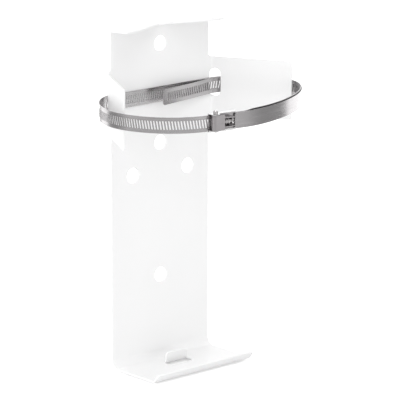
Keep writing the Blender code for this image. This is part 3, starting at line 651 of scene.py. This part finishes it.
class StrapPath:
    """The strap from its plain end, once round the loop and on inside it to the tail's end."""

    def __init__(self):
        self.route, rear_x = strap_route()
        self.lengths = route_lengths(self.route)
        self.loop = self.lengths[-1]
        self.rear_start = self.lengths[2 * ROUTE_STEPS]
        self.rear_end = self.rear_start + 2 * rear_x
        self.tail_start = self.loop + self.rear_start
        self.length = self.tail_start + rear_x - TAIL_END_X

    def offset(self, distance):
        """How far the strap lies outside the inner layer's route."""
        if distance < self.loop:
            saddle = SADDLE_LENGTH - PLAIN_END_PLACE
            way_back = self.loop - self.rear_end
            lowered = smooth_step((distance - saddle) / self.rear_start * LOWERING_RATE)
            merged = smooth_step((distance - self.rear_end) / way_back * MERGING_RATE)
            return PLAIN_END_OFFSET + (LAYER - PLAIN_END_OFFSET) * lowered - LAYER * merged
        past = distance - self.tail_start
        if past <= 0:
            return 0
        return -TAIL_SPLAY * past * past / (past + TAIL_BEND)

    def base(self, distance):
        """Point and direction on the route."""
        distance = distance % self.loop
        index = 0
        while index < len(self.lengths) - 2 and self.lengths[index + 1] < distance:
            index += 1
        span = self.lengths[index + 1] - self.lengths[index]
        share = (distance - self.lengths[index]) / span
        ahead = (self.route[index + 1] - self.route[index]).normalized()
        return self.route[index].lerp(self.route[index + 1], share), ahead

    def place(self, distance):
        """Point of the strap's middle surface, seen from above."""
        point, ahead = self.base(distance)
        outward = Vector((ahead.y, -ahead.x))
        return point + outward * self.offset(distance)

    def rise(self, distance):
        """How far the strap rises above its middle height."""
        turn = distance / self.loop
        for (before, low), (after, high) in zip(STRAP_RISES, STRAP_RISES[1:]):
            if turn <= after:
                return MM * (low + (high - low) * smooth_step((turn - before) / (after - before)))
        return MM * STRAP_RISES[-1][1]


def strap_columns(length):
    """Places along the strap where its mesh has a column, and which gaps between them are slots."""
    corner = [STRAP_END_CORNER * share for share in STRAP_END_COLUMNS]
    slotted = length - STRAP_PLAIN_LENGTH - 2 * STRAP_END_CORNER
    slots = int(slotted / SLOT_PITCH)
    first_slot = length - 2 * STRAP_END_CORNER - slots * SLOT_PITCH
    plain = first_slot - STRAP_END_CORNER
    plain_count = round(plain / (2 * SLOT_PITCH))
    columns = list(corner)
    for step in range(1, plain_count):
        columns.append(STRAP_END_CORNER + plain * step / plain_count)
    is_slot = [False] * len(columns)
    for slot in range(slots):
        place = first_slot + slot * SLOT_PITCH
        columns += [place, place + SLOT_WIDTH]
        is_slot += [True, False]
    columns += [length - place for place in reversed(corner)]
    is_slot += [False] * len(corner)
    return columns, is_slot


def edge_inset(place, length):
    """How far the strap's edge draws in at the rounded corners of its ends."""
    near = min(place, length - place)
    if near >= STRAP_END_CORNER:
        return 0
    return STRAP_END_CORNER - math.sqrt(STRAP_END_CORNER ** 2 - (STRAP_END_CORNER - near) ** 2)


def strap_point(path, place, row):
    """Place of one point of the strap's grid.

    Its columns lean with the slots, apart from those in the corners of its ends.
    """
    height = STRAP_ROWS[row]
    lean_share = 1
    if row in EDGE_ROWS:
        height -= math.copysign(edge_inset(place, path.length), height)
        lean_share = SLOT_HEIGHT / STRAP_WIDTH
    if STRAP_END_CORNER < place < path.length - STRAP_END_CORNER:
        place -= height * math.tan(SLOT_LEAN) * lean_share
    point = path.place(place)
    return (point.x, point.y, STRAP_MIDDLE - PLATE_HEIGHT / 2 + path.rise(place) + height)


def strap_finish(turn):
    """Finish of the strap's outer side by turns of the loop. Its inner side has the next one."""
    # Under the plain end: painted shade on the outer side, darker steel on the inner side
    if PAINTED_SHADE_FROM < turn < PAINTED_SHADE_TO:
        return PAINTED_SHADE_FINISH
    # Across the plate: painted reflected light on the inner side
    if REAR_FROM < turn < REAR_TO:
        return REAR_FINISH
    return 0


def strap_mesh():
    """The strap's middle surface: a grid along its path, with its slots open."""
    path = StrapPath()
    columns, is_slot = strap_columns(path.length)
    across = len(columns)
    work = bmesh.new()
    bmesh.ops.create_grid(work, x_segments=across - 1, y_segments=len(STRAP_ROWS) - 1, size=1)
    work.verts.ensure_lookup_table()
    for index, vert in enumerate(work.verts):
        row, column = divmod(index, across)
        vert.co = strap_point(path, columns[column], row)
    open_faces = []
    for index, face in enumerate(work.faces):
        row, column = divmod(index, across - 1)
        face.material_index = strap_finish(columns[column] / path.loop)
        if row == SLOT_ROW and is_slot[column]:
            open_faces.append(face)
    spare = [
        work.verts[row * across + column]
        for column in range(across) if is_slot[column]
        for row in EDGE_ROWS
    ]
    bmesh.ops.delete(work, geom=open_faces, context="FACES_ONLY")
    bmesh.ops.dissolve_verts(work, verts=spare)
    mesh = bpy.data.meshes.new("slotted_strap")
    work.to_mesh(mesh)
    work.free()
    return mesh


def make_strap():
    """The slotted strap with a finish for each side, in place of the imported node."""
    mesh = strap_mesh()
    for finish in STRAP_FINISHES:
        mesh.materials.append(steel[finish])
    strap = add_object("slotted_strap", mesh)
    solidify = strap.modifiers.new("thickness", "SOLIDIFY")
    solidify.thickness = STRAP_THICKNESS
    solidify.offset = 0
    solidify.use_even_offset = True
    solidify.material_offset = 1
    solidify.material_offset_rim = 1 - len(STRAP_FINISHES)
    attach(strap, "wall_frame")
    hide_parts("strap")
    soften(strap, STRAP_ROUND)


dress("bracket", coat, 0)
make_bracket()
dress("strap", steel["rolled_strip"], 0)
make_strap()
for piece, (finish, rounding) in CLAMP_PIECES.items():
    dress(piece, steel[finish], rounding)


# Studio

def area_light(name, place, aim, size, power):
    """Rectangular soft light that looks at a point."""
    light = bpy.data.lights.new(name, "AREA")
    light.shape = "RECTANGLE"
    light.size, light.size_y = size
    light.energy = power
    obj = add_object(name, light)
    obj.location = place
    obj.rotation_euler = (Vector(aim) - Vector(place)).to_track_quat("-Z", "Y").to_euler()


def make_floor():
    """Pale floor that shows white to the camera and to metal."""
    signs = [(-1, -1), (1, -1), (1, 1), (-1, 1)]
    corners = [(x * FLOOR_SPAN, y * FLOOR_SPAN, FLOOR_HEIGHT) for x, y in signs]
    mesh = bpy.data.meshes.new("floor")
    mesh.from_pydata(corners, [], [(0, 1, 2, 3)])
    obj = add_object("floor", mesh)
    s = Shader("floor_white")
    rays = s.node("LightPath").outputs
    in_metal = s.calc("MULTIPLY", rays["Is Glossy Ray"], FLOOR_IN_METAL)
    seen = s.calc("ADD", rays["Is Camera Ray"], in_metal)
    level = s.calc("MULTIPLY", seen, FLOOR_WHITE)
    mesh.materials.append(s.glow(FLOOR_COLOUR, level, Roughness=FLOOR_ROUGHNESS))


def make_reflector():
    """Ring of soft panels round the object that only metal and gloss reflect."""
    steps = REFLECTOR_STEPS
    angles = [2 * math.pi * i / steps for i in range(steps)]
    rim = [(REFLECTOR_RADIUS * math.sin(a), -REFLECTOR_RADIUS * math.cos(a)) for a in angles]
    verts = [(x, y, z) for z in (REFLECTOR_BOTTOM, REFLECTOR_TOP) for x, y in rim]
    faces = [(i, (i + 1) % steps, (i + 1) % steps + steps, i + steps) for i in range(steps)]
    mesh = bpy.data.meshes.new("reflector")
    mesh.from_pydata(verts, [], faces)
    obj = add_object("reflector", mesh)
    obj.visible_camera = False
    obj.visible_diffuse = False
    obj.visible_shadow = False
    obj.visible_transmission = False
    s = Shader("reflector_panels")
    place = s.node("SeparateXYZ", Vector=s.node("TexCoord").outputs["Object"])
    turn = s.calc("ARCTAN2", place.outputs["X"], s.calc("MULTIPLY", place.outputs["Y"], -1))
    level = REFLECTOR_LEVEL
    for centre, half, soft, gain in REFLECTOR_PANELS:
        away = s.calc("ABSOLUTE", s.turn_between(turn, math.radians(centre)))
        inner, outer = math.radians(half), math.radians(half + soft)
        level = s.calc("ADD", s.ramp(away, inner, outer, gain, 0, "SMOOTHSTEP"), level)
    mesh.materials.append(s.glow((0, 0, 0, 1), level))


def make_world():
    """Even pale surroundings, white to the camera and to metal."""
    world = bpy.data.worlds.new("studio")
    bpy.context.scene.world = world
    world.use_nodes = True
    n = Nodes(world.node_tree)
    rays = n.node("LightPath").outputs
    seen = n.calc("MAXIMUM", rays["Is Camera Ray"], rays["Is Glossy Ray"])
    level = n.ramp(seen, 0, 1, WORLD_LEVEL, 1)
    n.fill(n.tree.nodes["Background"], {"Color": (1, 1, 1, 1), "Strength": level})


def make_camera():
    """Camera at the photograph's viewing angle."""
    flat = math.cos(PITCH)
    ahead = Vector((math.sin(YAW) * flat, math.cos(YAW) * flat, -math.sin(PITCH)))
    right = Vector((math.cos(YAW), -math.sin(YAW), 0))
    up = right.cross(ahead)
    turned_right = right * math.cos(ROLL) + up * math.sin(ROLL)
    turned_up = up * math.cos(ROLL) - right * math.sin(ROLL)
    camera = bpy.data.cameras.new("camera")
    camera.lens = LENS_MM
    camera.sensor_width = SENSOR_MM
    camera.clip_end = CLIP_END
    obj = add_object("camera", camera)
    matrix = Matrix((turned_right, turned_up, -ahead)).transposed().to_4x4()
    matrix.translation = TARGET - ahead * DISTANCE
    obj.matrix_world = matrix
    bpy.context.scene.camera = obj


make_floor()
make_reflector()
make_world()
for name, light in LIGHTS.items():
    area_light(name, *light)
make_camera()
bpy.context.scene.view_settings.view_transform = "Standard"

bpy.context.view_layer.update()
